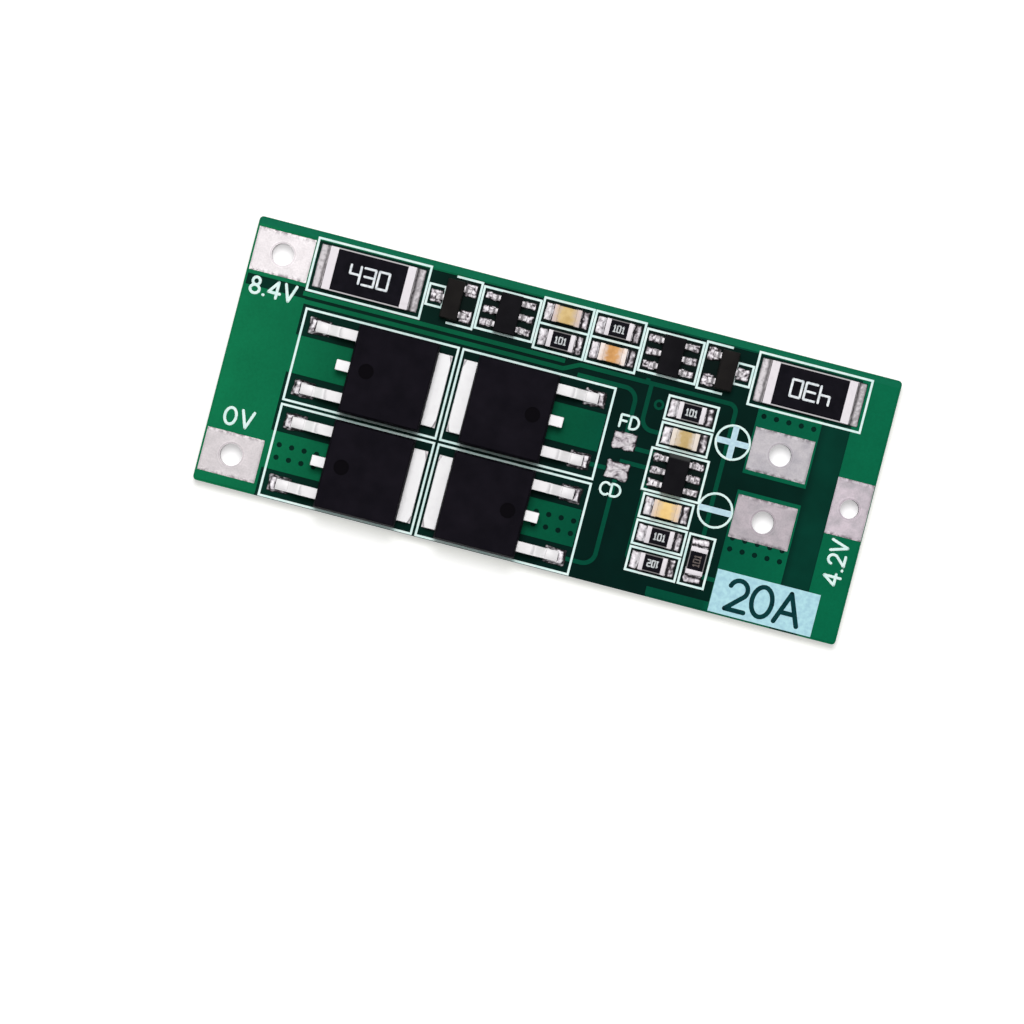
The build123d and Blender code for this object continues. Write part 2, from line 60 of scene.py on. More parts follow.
def newMaterial(name, roughness, metallic=0.0, gloss=0.5):
    material = bpy.data.materials.new(name)
    material.use_nodes = True
    shader = material.node_tree.nodes["Principled BSDF"]
    shader.inputs["Roughness"].default_value = roughness
    shader.inputs["Metallic"].default_value = metallic
    shader.inputs["Specular IOR Level"].default_value = gloss
    return material, material.node_tree, shader


def feed(tree, value, socket):
    if isinstance(value, bpy.types.NodeSocket):
        tree.links.new(value, socket)
    else:
        socket.default_value = value


def objectPoint(tree):
    return tree.nodes.new("ShaderNodeTexCoord").outputs["Object"]


def blotches(tree, size, detail=2.0, stretch=(1, 1, 1), rough=0.5):
    # noise whose blotches are about size millimetres across
    mapping = tree.nodes.new("ShaderNodeMapping")
    mapping.inputs["Scale"].default_value = stretch
    texture = tree.nodes.new("ShaderNodeTexNoise")
    texture.inputs["Scale"].default_value = 1 / (size * mm)
    texture.inputs["Detail"].default_value = detail
    texture.inputs["Roughness"].default_value = rough
    tree.links.new(objectPoint(tree), mapping.inputs["Vector"])
    tree.links.new(mapping.outputs["Vector"], texture.inputs["Vector"])
    return texture.outputs["Fac"]


def ramp(tree, source, *stops):
    node = tree.nodes.new("ShaderNodeValToRGB")
    bands = node.color_ramp.elements
    while len(bands) < len(stops):
        bands.new(0.5)
    for band, (place, colour) in zip(bands, stops):
        band.position = place
        band.color = colour
    tree.links.new(source, node.inputs["Fac"])
    return node.outputs["Color"]


def blend(tree, factor, first, second, how="MIX"):
    node = tree.nodes.new("ShaderNodeMix")
    node.data_type = "RGBA"
    node.blend_type = how
    feed(tree, factor, node.inputs[0])
    feed(tree, first, node.inputs[6])
    feed(tree, second, node.inputs[7])
    return node.outputs[2]


def combine(tree, how, first, second=0.0):
    node = tree.nodes.new("ShaderNodeMath")
    node.operation = how
    feed(tree, first, node.inputs[0])
    feed(tree, second, node.inputs[1])
    return node.outputs[0]


def along(tree, axis, vector=None):
    split = tree.nodes.new("ShaderNodeSeparateXYZ")
    tree.links.new(vector or objectPoint(tree), split.inputs[0])
    return split.outputs[axis]


def between(tree, value, low, high):
    # 1 where the value lies between two distances in millimetres
    above = combine(tree, "GREATER_THAN", value, low * mm)
    return combine(tree, "MULTIPLY", above, combine(tree, "LESS_THAN", value, high * mm))


def clamped(tree, value):
    return combine(tree, "MINIMUM", combine(tree, "MAXIMUM", value, 0.0), 1.0)


def offsetFrom(tree, axis, centre):
    # millimetres past a place along one axis
    return combine(tree, "SUBTRACT", combine(tree, "MULTIPLY", along(tree, axis), 1 / mm), centre[axis])


def reachOf(tree, axis, centre):
    # distance from a place along one axis only, in millimetres
    return combine(tree, "ABSOLUTE", offsetFrom(tree, axis, centre))


def awayFrom(tree, centre):
    # distance from a place on the board, in millimetres
    squares = []
    for axis in (0, 1):
        offset = offsetFrom(tree, axis, centre)
        squares.append(combine(tree, "MULTIPLY", offset, offset))
    return combine(tree, "SQRT", combine(tree, "ADD", *squares))


def alongBoard(tree, stops, span):
    # colours by place along the board, in millimetres from its middle
    place = combine(tree, "MULTIPLY", along(tree, 0), 1 / (span * mm))
    return ramp(tree, combine(tree, "ADD", place, 0.5), *[(x / span + 0.5, colour) for x, colour in stops])


def coverWith(tree, shader, tone, bumps, strength=0.5, detail=2.0):
    # the colour, and bumps of this size and depth in millimetres
    size, depth = bumps
    bump = tree.nodes.new("ShaderNodeBump")
    bump.inputs["Strength"].default_value = strength
    bump.inputs["Distance"].default_value = depth * mm
    tree.links.new(tone, shader.inputs["Base Color"])
    tree.links.new(blotches(tree, size, detail), bump.inputs["Height"])
    tree.links.new(bump.outputs["Normal"], shader.inputs["Normal"])


# Mesh helpers

cleaning = {"mergeWithin": 0.0008, "flatWithin": 1}  # millimetres and degrees


def copyOf(name):
    # a node's mesh in millimetres, with its triangles merged to whole faces
    mesh = bmesh.new()
    mesh.from_mesh(nodes[name].data)
    bmesh.ops.scale(mesh, vec=(1 / mm, 1 / mm, 1 / mm), verts=mesh.verts)
    bmesh.ops.remove_doubles(mesh, verts=mesh.verts, dist=cleaning["mergeWithin"])
    bmesh.ops.dissolve_limit(
        mesh, angle_limit=math.radians(cleaning["flatWithin"]), use_dissolve_boundaries=False,
        verts=mesh.verts, edges=mesh.edges,
    )
    return mesh


def roundEdges(mesh, width, segments=2, sharp=30, shortest=0.0):
    # rounds the edges that are sharper and longer than these, in degrees and millimetres
    edges = [
        e for e in mesh.edges
        if len(e.link_faces) == 2
        and e.calc_face_angle(0) > math.radians(sharp) and e.calc_length() > shortest
    ]
    bmesh.ops.bevel(
        mesh, geom=edges, offset=width, offset_type="OFFSET", affect="EDGES", segments=segments,
        profile=0.5, material=-1, clamp_overlap=True,
    )


def addPiece(mesh, name, material, replaced=(), slot=None, sharp=35, flat=False):
    bmesh.ops.scale(mesh, vec=(mm, mm, mm), verts=mesh.verts)
    data = bpy.data.meshes.new(name)
    mesh.to_mesh(data)
    mesh.free()
    data.materials.append(material)
    data.shade_smooth()
    data.set_sharp_from_angle(angle=math.radians(sharp))
    piece = bpy.data.objects.new(name, data)
    bpy.context.scene.collection.objects.link(piece)
    if flat:
        # large faces stay flat beside their rounded edges
        weighted = piece.modifiers.new("flatFaces", "WEIGHTED_NORMAL")
        weighted.keep_sharp = True
    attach(piece, "root")
    if replaced:
        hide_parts(*replaced)


def dress(name, material):
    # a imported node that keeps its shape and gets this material
    data = nodes[name].data
    data.materials.clear()
    data.materials.append(material)


def boxOf(name):
    low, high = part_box(name)
    return Vector(low) / mm, Vector(high) / mm


def remeshed(mesh, voxel):
    # the mesh, still in millimetres, melted together from cubes of this size
    data = bpy.data.meshes.new("shaping")
    mesh.to_mesh(data)
    mesh.free()
    shaping = bpy.data.objects.new("shaping", data)
    bpy.context.scene.collection.objects.link(shaping)
    melting = shaping.modifiers.new("melting", "REMESH")
    melting.mode = "VOXEL"
    melting.voxel_size = voxel
    graph = bpy.context.evaluated_depsgraph_get()
    shaped = bpy.data.meshes.new_from_object(shaping.evaluated_get(graph))
    result = bmesh.new()
    result.from_mesh(shaped)
    bpy.data.objects.remove(shaping)
    bpy.data.meshes.remove(data)
    bpy.data.meshes.remove(shaped)
    return result


# Board: glass-fibre core with a gloss green mask on both faces
board = {
    "span": 48,  # the colours below stand at places along this length
    "middle": 0.7,  # height that parts the top's colours from the underside's
    "mask": [
        (-24, screen(3, 50, 38)), (-8, screen(2, 34, 28)), (9, screen(1, 33, 28)), (18.7, screen(2, 42, 34)),
        (19.4, screen(3, 60, 47)), (24, screen(3, 58, 45)),
    ],
    # lighter at the left end: painted light falling off across the board; other steps are the pours' own tone
    "copper": [
        (-24, screen(14, 124, 80)), (-16, screen(8, 106, 70)), (2, screen(3, 90, 62)), (5, screen(2, 78, 58)),
        (13.8, screen(2, 78, 57)), (14.4, screen(3, 96, 69)), (22, screen(6, 109, 74)),
    ],
    "topStrip": (9.22, screen(14, 110, 78)),
    "border": (23.59, 9.59),  # beyond these the edge takes the tone of the copper beside it
    "borderGaps": [(-19.2, 9.7), (18.92, 20.95)],  # except here, along the lower edge of the top face
    "lowerCopper": [
        (-24, screen(1, 98, 64)), (-12, screen(1, 87, 58)), (8, screen(2, 86, 58)), (15, screen(6, 98, 71)),
        (24, screen(10, 102, 76)),
    ],
    # painted shade: inside these printed frames, between the parts, the mask is darkened nearly to black
    "framed": [(-9.0, 5.7, 10.9, 9.0), (7.9, -8.2, 11.5, 4.6), (11.8, -8.2, 13.5, -4.5)],
    "framedMask": screen(12, 20, 19),
    "framedShare": 0.65,
    # size and depth of the blotches
    "maskBlotches": (3.0, 0.3),
    "copperBlotches": (4.0, 0.14),
    "lowerBlotches": (5.0, 0.1),
    "copperGrain": (0.16, 0.1),
    # size and depth of the gloss surface's waves
    "maskWaves": (0.5, 0.006),
    "copperWaves": (0.4, 0.006),
    "core": screen(176, 178, 120),
    "coreDeep": screen(134, 144, 88),
    "coreLayers": (0.22, (0.15, 0.15, 1.4)),  # size of the glass fibre's blotches, and their stretch
    "roughness": 0.36,
    "gloss": 0.012,
    "coreFrom": 0.125,  # heights of the bare edge between the two masks
    "coreTo": 1.275,
}


def mottled(tree, tone, size, depth):
    # the tone, with darker blotches
    shade = ramp(tree, blotches(tree, size, 3), (0.3, grey(1 - depth)), (0.65, grey(1)))
    return blend(tree, 1.0, tone, shade, "MULTIPLY")


def copperTone(tree):
    tone = mottled(tree, alongBoard(tree, board["copper"], board["span"]), *board["copperBlotches"])
    stripFrom, strip = board["topStrip"]
    atTop = combine(tree, "GREATER_THAN", along(tree, 1), stripFrom * mm)
    tone = blend(tree, atTop, tone, strip)
    below = combine(tree, "LESS_THAN", along(tree, 2), board["middle"] * mm)
    lower = mottled(tree, alongBoard(tree, board["lowerCopper"], board["span"]), *board["lowerBlotches"])
    return mottled(tree, blend(tree, below, tone, lower), *board["copperGrain"])


def makeBoardMask():
    material, tree, shader = newMaterial("solderMask", board["roughness"], gloss=board["gloss"])
    mask = mottled(tree, alongBoard(tree, board["mask"], board["span"]), *board["maskBlotches"])
    x, y, z = (along(tree, axis) for axis in range(3))
    reachX, reachY = board["border"]
    sides = combine(tree, "GREATER_THAN", combine(tree, "ABSOLUTE", x), reachX * mm)
    upper = combine(tree, "GREATER_THAN", y, reachY * mm)
    lower = combine(tree, "LESS_THAN", y, -reachY * mm)
    top = combine(tree, "GREATER_THAN", z, board["middle"] * mm)
    for start, end in board["borderGaps"]:
        gap = combine(tree, "MULTIPLY", top, between(tree, x, start, end))
        lower = combine(tree, "SUBTRACT", lower, gap)
    # painted shade inside the printed frames
    for x0, y0, x1, y1 in board["framed"]:
        inside = combine(tree, "MULTIPLY", between(tree, x, x0, x1), between(tree, y, y0, y1))
        inside = combine(tree, "MULTIPLY", combine(tree, "MULTIPLY", inside, top), board["framedShare"])
        mask = blend(tree, inside, mask, board["framedMask"])
    border = combine(tree, "MAXIMUM", combine(tree, "MAXIMUM", sides, upper), lower)
    mask = blend(tree, border, mask, copperTone(tree))
    size, stretch = board["coreLayers"]
    layers = blotches(tree, size, 2, stretch=stretch)
    core = ramp(tree, layers, (0.3, board["coreDeep"]), (0.7, board["core"]))
    edge = between(tree, z, board["coreFrom"], board["coreTo"])
    coverWith(tree, shader, blend(tree, edge, mask, core), board["maskWaves"])
    return material


def makeCopperMask():
    # the same mask over copper, where it looks lighter
    material, tree, shader = newMaterial("maskedCopper", board["roughness"], gloss=board["gloss"])
    coverWith(tree, shader, copperTone(tree), board["copperWaves"])
    return material


solderMask = makeBoardMask()
maskedCopper = makeCopperMask()
dress("circuit_board", solderMask)
dress("top_copper", maskedCopper)
dress("bottom_copper", maskedCopper)
print("board and copper dressed")


# White ink: frames and blocks from the frame, lettering drawn as round-ended strokes
ink = {
    "line": screen(236, 254, 250),
    "lineDeep": screen(214, 244, 240),
    "block": screen(184, 230, 238),
    "blockDeep": screen(166, 210, 224),
    "bar": screen(200, 232, 240),
    "barDeep": screen(182, 212, 228),
    "dark": screen(12, 62, 64),
    "darkDeep": screen(8, 50, 54),
    "roughness": 0.62,
    "gloss": 0.2,
    "darkGloss": 0.02,
    "grain": (0.12, 0.008),  # size and depth of the dried ink's grain
    "rise": 0.028,  # half the thickness of a stroke
    "top": 1.372,  # heights of the strokes: on the masked copper, and on the solid block
    "onBlock": 1.392,
    "bottom": 0.03,
    "lowerFace": 0.018,  # leaves room for the dark digits below the solid block
    "belowBlock": 0.012,  # height and rise of those digits
    "belowRise": 0.011,
    "blockFrom": (14.2, -6.4),  # the solid block of the top face starts here
}


def inkTone(tree, light, deep, size):
    return ramp(tree, blotches(tree, size, 3), (0.35, deep), (0.65, light))


def makeInk(name, light, deep, size, gloss=ink["gloss"]):
    material, tree, shader = newMaterial(name, ink["roughness"], gloss=gloss)
    coverWith(tree, shader, inkTone(tree, light, deep, size), ink["grain"], 0.6)
    return material


def makeTopInk():
    # thin white lines, and a block whose thinner ink lets some green through
    material, tree, shader = newMaterial("printedLines", ink["roughness"], gloss=ink["gloss"])
    lines = inkTone(tree, ink["line"], ink["lineDeep"], 0.5)
    block = inkTone(tree, ink["block"], ink["blockDeep"], 0.35)
    right = combine(tree, "GREATER_THAN", along(tree, 0), ink["blockFrom"][0] * mm)
    low = combine(tree, "LESS_THAN", along(tree, 1), ink["blockFrom"][1] * mm)
    inBlock = combine(tree, "MULTIPLY", right, low)
    coverWith(tree, shader, blend(tree, inBlock, lines, block), ink["grain"], 0.6)
    return material


whiteInk = makeInk("whiteInk", ink["line"], ink["lineDeep"], 0.5)
blockInk = makeInk("blockInk", ink["block"], ink["blockDeep"], 0.3)
barInk = makeInk("barInk", ink["bar"], ink["barDeep"], 0.25)
darkInk = makeInk("darkLettering", ink["dark"], ink["darkDeep"], 0.4, gloss=ink["darkGloss"])
dress("top_silkscreen", makeTopInk())
lowerPrint = copyOf("bottom_silkscreen")
for v in lowerPrint.verts:
    v.co.z = max(v.co.z, ink["lowerFace"])
addPiece(lowerPrint, "lower_print", blockInk, ["bottom_silkscreen"], "white_ink")


def arc(cx, cy, rx, ry, start, end, steps=14):
    turns = [math.radians(start + (end - start) * i / steps) for i in range(steps + 1)]
    return [(cx + rx * math.cos(t), cy + ry * math.sin(t)) for t in turns]


# Each letter: its width and its strokes, for a height of 1
letters = {
    "8": (0.62, [arc(0.31, 0.76, 0.23, 0.24, 0, 360), arc(0.31, 0.26, 0.3, 0.26, 0, 360)]),
    ".": (0.1, [[(0.04, 0.02), (0.07, 0.02)]]),
    "4": (0.74, [[(0.72, 0.3), (0, 0.3), (0.52, 1), (0.52, 0)]]),
    "V": (0.72, [[(0, 1), (0.34, 0), (0.7, 1)]]),
    "0": (0.72, [arc(0.36, 0.5, 0.34, 0.5, 0, 360, 24)]),
    "2": (0.64, [[*arc(0.32, 0.7, 0.3, 0.3, 165, -35, 12), (0, 0), (0.64, 0)]]),
    "A": (0.78, [[(0, 0), (0.39, 1), (0.78, 0)], [(0.14, 0.34), (0.64, 0.34)]]),
    "F": (0.62, [[(0.6, 1), (0, 1), (0, 0)], [(0, 0.52), (0.5, 0.52)]]),
    "C": (0.66, [arc(0.4, 0.5, 0.38, 0.5, 50, 310, 20)]),
    "D": (0.7, [[(0, 0), (0, 1), *arc(0.22, 0.5, 0.46, 0.5, 90, -90, 14), (0, 0)]]),
    # seven-segment shapes of the resistor marks
    "four": (0.55, [[(0, 1), (0, 0.5), (0.55, 0.5)], [(0.55, 1), (0.55, 0)]]),
    "three": (0.6, [[(0, 1), (0.6, 1), (0.6, 0), (0, 0)], [(0.05, 0.5), (0.6, 0.5)]]),
    "nought": (0.55, [[(0, 0), (0, 1), (0.55, 1), (0.55, 0), (0, 0)]]),
    "one": (0.26, [[(0, 0.8), (0.14, 1), (0.14, 0)], [(0, 0), (0.28, 0)]]),
    "two": (0.55, [[(0, 1), (0.55, 1), (0.55, 0.5), (0, 0.5), (0, 0), (0.55, 0)]]),
}


def cutAtCorners(run, corner=0.6):
    # strokes keep their width when each corner sharper than this, in radians,
    # ends one run and starts the next
    pieces = [[run[0]]]
    for before, here, after in zip(run, run[1:], run[2:]):
        pieces[-1].append(here)
        if (Vector(here) - Vector(before)).angle(Vector(after) - Vector(here)) > corner:
            pieces.append([here])
    pieces[-1].append(run[-1])
    return pieces


def strokes(lines, width, rise):
    # flattened round strokes along lines of points, in millimetres
    runs = [piece for line in lines for piece in cutAtCorners(line)]
    curve = bpy.data.curves.new("stroke", "CURVE")
    curve.dimensions = "3D"
    curve.bevel_depth = width / 2
    curve.bevel_resolution = 2
    for run in runs:
        spline = curve.splines.new("POLY")
        spline.points.add(len(run) - 1)
        for point, (x, y) in zip(spline.points, run):
            point.co = (x, y, 0, 1)
    holder = bpy.data.objects.new("stroke", curve)
    mesh = bmesh.new()
    mesh.from_mesh(bpy.data.meshes.new_from_object(holder))
    for run in runs:
        for x, y in (run[0], run[-1]):
            bmesh.ops.create_uvsphere(
                mesh, u_segments=10, v_segments=6, radius=width / 2, matrix=Matrix.Translation((x, y, 0)),
            )
    bpy.data.objects.remove(holder)
    bpy.data.curves.remove(curve)
    bmesh.ops.scale(mesh, vec=(1, 1, 2 * rise / width), verts=mesh.verts)
    return mesh


def lettering(
    name, text, centre, size, line, material, turn=0, below=False, gap=0.24, height=None, rise=ink["rise"],
):
    # text is a string or a list of names from letters; centre and size (width, height) are in millimetres
    width = sum(letters[c][0] for c in text) + gap * (len(text) - 1)
    fit = size[0] / width
    runs = []
    x = -width / 2
    for c in text:
        for run in letters[c][1]:
            runs.append([((x + px) * fit, (py - 0.5) * size[1]) for px, py in run])
        x += letters[c][0] + gap
    mesh = strokes(runs, line, rise)
    if height is None:
        height = ink["bottom"] if below else ink["top"]
    spin = Matrix.Rotation(math.radians(turn), 4, "Z")
    flip = Matrix.Scale(-1, 4, (0, 1, 0)) if below else Matrix.Identity(4)
    place = Matrix.Translation((centre[0], centre[1], height)) @ flip @ spin
    bmesh.ops.transform(mesh, matrix=place, verts=mesh.verts)
    bmesh.ops.recalc_face_normals(mesh, faces=mesh.faces)
    addPiece(mesh, name, material, slot="white_ink")


# Measured on the photograph, in millimetres from the middle of the board
lettering("label_pack_plus", "8.4V", (-21.55, 4.84), (3.3, 1.16), 0.21, whiteInk)
lettering("label_pack_minus", "0V", (-21.62, -4.68), (2.1, 1.2), 0.21, whiteInk, gap=0.3)
lettering("label_middle_tap", "4.2V", (22.35, -4.0), (3.2, 1.2), 0.2, whiteInk, turn=90)
lettering("label_upper_test", "FD", (5.55, 2.02), (1.36, 0.88), 0.17, whiteInk, gap=0.2)
lettering("label_lower_test", "CD", (5.4, -2.98), (1.5, 0.88), 0.17, whiteInk, gap=0.16)
lettering("label_rating", "20A", (18.08, -8.06), (5.28, 2.18), 0.39, darkInk, gap=0.16, height=ink["onBlock"])
lettering("label_pack_plus_below", "8.4V", (-21.45, 4.5), (4.3, 1.45), 0.25, whiteInk, below=True)
lettering("label_pack_minus_below", "0V", (-21.9, -4.42), (2.6, 1.4), 0.25, whiteInk, below=True, gap=0.3)
lettering("label_middle_tap_below", "4.2V", (22.2, 4.62), (4.3, 1.35), 0.25, whiteInk, turn=-90, below=True)
lettering(
    "label_rating_below", "20A", (-7.15, 3.72), (5.2, 2.1), 0.36, darkInk,
    below=True, gap=0.16, height=ink["belowBlock"], rise=ink["belowRise"],
)


# The plus and minus signs in their rings
sign = {
    "radius": 1.22, "line": 0.17, "bar": 0.44, "barThickness": 1.6 * ink["rise"],
    "x": 13.05, "plusY": 2.47, "minusY": -2.55,
}


def ringSign(name, x, y, plus, below=False):
    ring = strokes([arc(0, 0, sign["radius"], sign["radius"], 0, 360, 48)], sign["line"], ink["rise"])
    bars = bmesh.new()
    radius, bar = sign["radius"], sign["bar"]
    spans = [(0, 0, radius * 2, bar)]
    if plus:
        spans += [(0, side * (radius + bar / 2) / 2, bar, radius - bar / 2) for side in (-1, 1)]
    for cx, cy, length, width in spans:
        size = Matrix.Diagonal((length, width, sign["barThickness"], 1))
        bmesh.ops.create_cube(bars, size=1, matrix=Matrix.Translation((cx, cy, 0)) @ size)
    height = ink["bottom"] if below else ink["top"]
    for mesh, part, material in ((ring, "ring", whiteInk), (bars, "bars", barInk)):
        bmesh.ops.translate(mesh, vec=(x, y, height), verts=mesh.verts)
        addPiece(mesh, name + "_" + part, material, slot="white_ink")


for below in (False, True):
    ending = "_below" if below else ""
    ringSign("sign_plus" + ending, sign["x"], sign["plusY"], True, below)
    ringSign("sign_minus" + ending, sign["x"], sign["minusY"], False, below)
print("ink and lettering done")


# Tinned lands, leads and solder
tin = {
    # level metal, its deeper patches, and where it slopes; the slope is painted lighter than the level
    # metal on the large leads and tab, and darker on the small leads
    "tab": (screen(222, 221, 222), screen(210, 208, 210), screen(242, 240, 241)),
    "lead": (screen(214, 212, 213), screen(200, 198, 200), screen(250, 248, 249)),
    "smallLead": (screen(216, 212, 215), screen(138, 132, 136), screen(184, 179, 182)),
    # colours by slope for the stops below: painted shade on steep faces, painted highlight on level ones
    "leadEdge": screen(150, 146, 149),
    "end": screen(203, 198, 202),
    "endRamp": screen(164, 157, 162),
    "endEdge": screen(58, 53, 56),
    "bright": screen(226, 222, 226),
    "clear": screen(196, 190, 195),
    "dull": screen(122, 115, 120),
    "dark": screen(34, 29, 33),
    "roughness": 0.6,
    "metallic": 0.4,
    "gloss": 0.3,
    "standing": (0.1, 0.26),  # slopes at which a face counts as fully upright, and no longer
}


def newTin(name):
    return newMaterial(name, tin["roughness"], metallic=tin["metallic"], gloss=tin["gloss"])


def standing(tree, normal, value=1.0):
    # this value on faces that stand upright, and 0 on all others
    slope = combine(tree, "ABSOLUTE", along(tree, 2, normal))
    fully, noLonger = tin["standing"]
    return ramp(tree, slope, (fully, grey(value)), (noLonger, grey(0)))


def slopeOf(tree, size, depth, lean=0.0, upright=0.0):
    # painted shade and reflection: 1 where a surface is level and less where it tips, more so towards +x
    # as if lit from -x, with blotches; faces that stand upright keep a painted light value of their own,
    # so they stay light when seen from the side
    normal = tree.nodes.new("ShaderNodeNewGeometry").outputs["Normal"]
    slope = combine(tree, "ABSOLUTE", along(tree, 2, normal))
    patches = combine(tree, "MULTIPLY", combine(tree, "SUBTRACT", blotches(tree, size, 3), 0.5), depth)
    slope = combine(tree, "ADD", slope, patches)
    slope = combine(tree, "SUBTRACT", slope, combine(tree, "MULTIPLY", along(tree, 0, normal), lean))
    return combine(tree, "MAXIMUM", slope, standing(tree, normal, upright))


def makeMetal(name, stops, size, depth, lean=0.0, bump=(0.18, 0.008), dim=0.0, upright=0.0):
    material, tree, shader = newTin(name)
    slope = combine(tree, "SUBTRACT", slopeOf(tree, size, depth, lean, upright + dim), dim)
    coverWith(tree, shader, ramp(tree, slope, *stops), bump)
    return material


def makeLead(name, size, depth):
    level, deep, slope = tin[name]
    # painted light by slope: dark edges, and slopes painted lighter or darker than the level metal
    stops = [(0.3, tin["leadEdge"]), (0.6, slope), (0.86, slope), (0.94, deep), (1.0, level)]
    return makeMetal(name, stops, size, depth)


tabMetal = makeLead("tab", 0.5, 0.1)
leadMetal = makeLead("lead", 0.5, 0.1)
smallLeadMetal = makeLead("smallLead", 0.26, 0.5)
jointShadeStops = [(0.4, tin["dark"]), (0.6, tin["dull"]), (0.8, tin["clear"]), (1.0, tin["bright"])]
metalSettings = {
    # stops: painted shade and highlight, colours from steep faces to level ones; size and depth: of the
    # blotches;
    # lean: how far the painted shade darkens towards +x; bump: size and depth; dim: all over;
    # upright: painted light value of upright faces
    "platedEnd": {
        "stops": [(0.5, tin["endEdge"]), (0.86, tin["endRamp"]), (0.98, tin["end"])],
        "size": 0.35, "depth": 0.2, "upright": 0.87,
    },
    "jointSolder": {
        "stops": jointShadeStops, "size": 0.3, "depth": 1.5,
        "lean": 0.12, "bump": (0.22, 0.03), "dim": 0.12, "upright": 0.68,
    },
    "chipSolder": {
        "stops": jointShadeStops, "size": 0.3, "depth": 1.4,
        "lean": 0.5, "bump": (0.22, 0.03), "dim": 0.16, "upright": 0.68,
    },
    "smallSolder": {
        "stops": jointShadeStops, "size": 0.25, "depth": 2.2,
        "lean": 0.2, "bump": (0.2, 0.03), "dim": 0.25, "upright": 0.68,
    },
    "longFillet": {
        "stops": [
            (0.3, screen(66, 60, 64)), (0.62, screen(142, 137, 140)),
            (0.9, screen(170, 165, 168)), (1.05, screen(198, 193, 196)),
        ],
        "size": 0.24, "depth": 0.8, "lean": 0.16, "bump": (0.2, 0.02), "upright": 0.7,
    },
    "padSolder": {
        "stops": [
            (0.4, screen(34, 28, 32)), (0.62, screen(120, 112, 118)),
            (0.8, screen(178, 171, 176)), (1.0, screen(198, 193, 196)),
        ],
        "size": 0.42, "depth": 1.3, "lean": 0.1, "bump": (0.24, 0.03), "dim": 0.08, "upright": 0.66,
    },
}
metals = {name: makeMetal(name, **settings) for name, settings in metalSettings.items()}

solder = {
    "voxel": 0.055, "smoothing": 5, "lump": 0.4, "waver": 0.5,
    "fineShare": 0.5, "fineTimes": 2.3,  # height and number of the finer lumps on each lump
    # joints up to this many millimetres long: their piece and metal, the height of their lumps,
    # and the reach of their wavering outline
    "kinds": [
        (1.05, "solder_small_lands", "smallSolder", 0.05, 0.07),
        (1.4, "solder_chip_ends", "chipSolder", 0.05, 0.07),
        (2.5, "solder_lead_tips", "jointSolder", 0.05, 0.07),
        (3.9, "solder_fillets", "longFillet", 0.02, 0.02),
    ],
}


def islandsOf(mesh):
    # the corners of each separate part of the mesh
    left = set(mesh.verts)
    while left:
        found = {left.pop()}
        edge = set(found)
        while edge:
            edge = {o for v in edge for e in v.link_edges for o in e.verts} - found
            found |= edge
        left -= found
        yield found


def lumpy(mesh, height, reach):
    # solder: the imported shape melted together, smoothed and a little uneven
    mesh = remeshed(mesh, solder["voxel"])
    for _ in range(solder["smoothing"]):
        bmesh.ops.smooth_vert(
            mesh, verts=mesh.verts, factor=0.5, use_axis_x=True, use_axis_y=True, use_axis_z=True,
        )
    mesh.normal_update()
    for v in mesh.verts:
        at = v.co / solder["lump"]
        lump = noise.noise(at) + solder["fineShare"] * noise.noise(at * solder["fineTimes"])
        waver = noise.noise_vector(v.co / solder["waver"]) * reach
        v.co += v.normal * lump * height
        v.co.x += waver.x
        v.co.y += waver.y
    return mesh


def keepOnly(mesh, kept):
    # a copy of the mesh with these corners and what they carry
    result = mesh.copy()
    result.verts.ensure_lookup_table()
    indices = {v.index for v in kept}
    bmesh.ops.delete(result, geom=[v for v in result.verts if v.index not in indices], context="VERTS")
    return result


def makeSolderJoints():
    # the joints by their length; the longest, slabs under the large tabs, stay flat
    mesh = copyOf("solder_joints")
    mesh.verts.index_update()
    groups = [[] for _ in range(len(solder["kinds"]) + 1)]
    for island in list(islandsOf(mesh)):
        xs = [v.co.x for v in island]
        ys = [v.co.y for v in island]
        extent = max(max(xs) - min(xs), max(ys) - min(ys))
        groups[sum(extent > kind[0] for kind in solder["kinds"])] += island
    addPiece(keepOnly(mesh, groups[-1]), "solder_slabs", metals["longFillet"], ["solder_joints"], "solder")
    for group, (_, name, metal, height, reach) in zip(groups, solder["kinds"]):
        joints = lumpy(keepOnly(mesh, group), height, reach)
        print(name, "faces:", len(joints.faces))
        addPiece(joints, name, metals[metal], slot="solder", sharp=60)
    mesh.free()


makeSolderJoints()

testPad = {
    "lumpHeight": 0.09, "waverReach": 0.07,
    # folds across the pad's top, where the solder was drawn off
    "foldsFrom": 1.36, "foldSize": 0.55, "foldStretch": 0.5, "foldDepth": 0.07, "foldSharpness": 6,
}
for name in ("test_pad_upper", "test_pad_lower"):
    pad = lumpy(copyOf(name), testPad["lumpHeight"], testPad["waverReach"])
    for v in pad.verts:
        at = Vector((v.co.x * testPad["foldStretch"], v.co.y, 3.0)) / testPad["foldSize"]
        fold = max(0, 1 - abs(noise.noise(at)) * testPad["foldSharpness"])
        if v.co.z > testPad["foldsFrom"]:
            v.co.z -= testPad["foldDepth"] * fold
    addPiece(pad, name + "_solder", metals["padSolder"], [name], "tinned_land", sharp=60)
print("solder done")


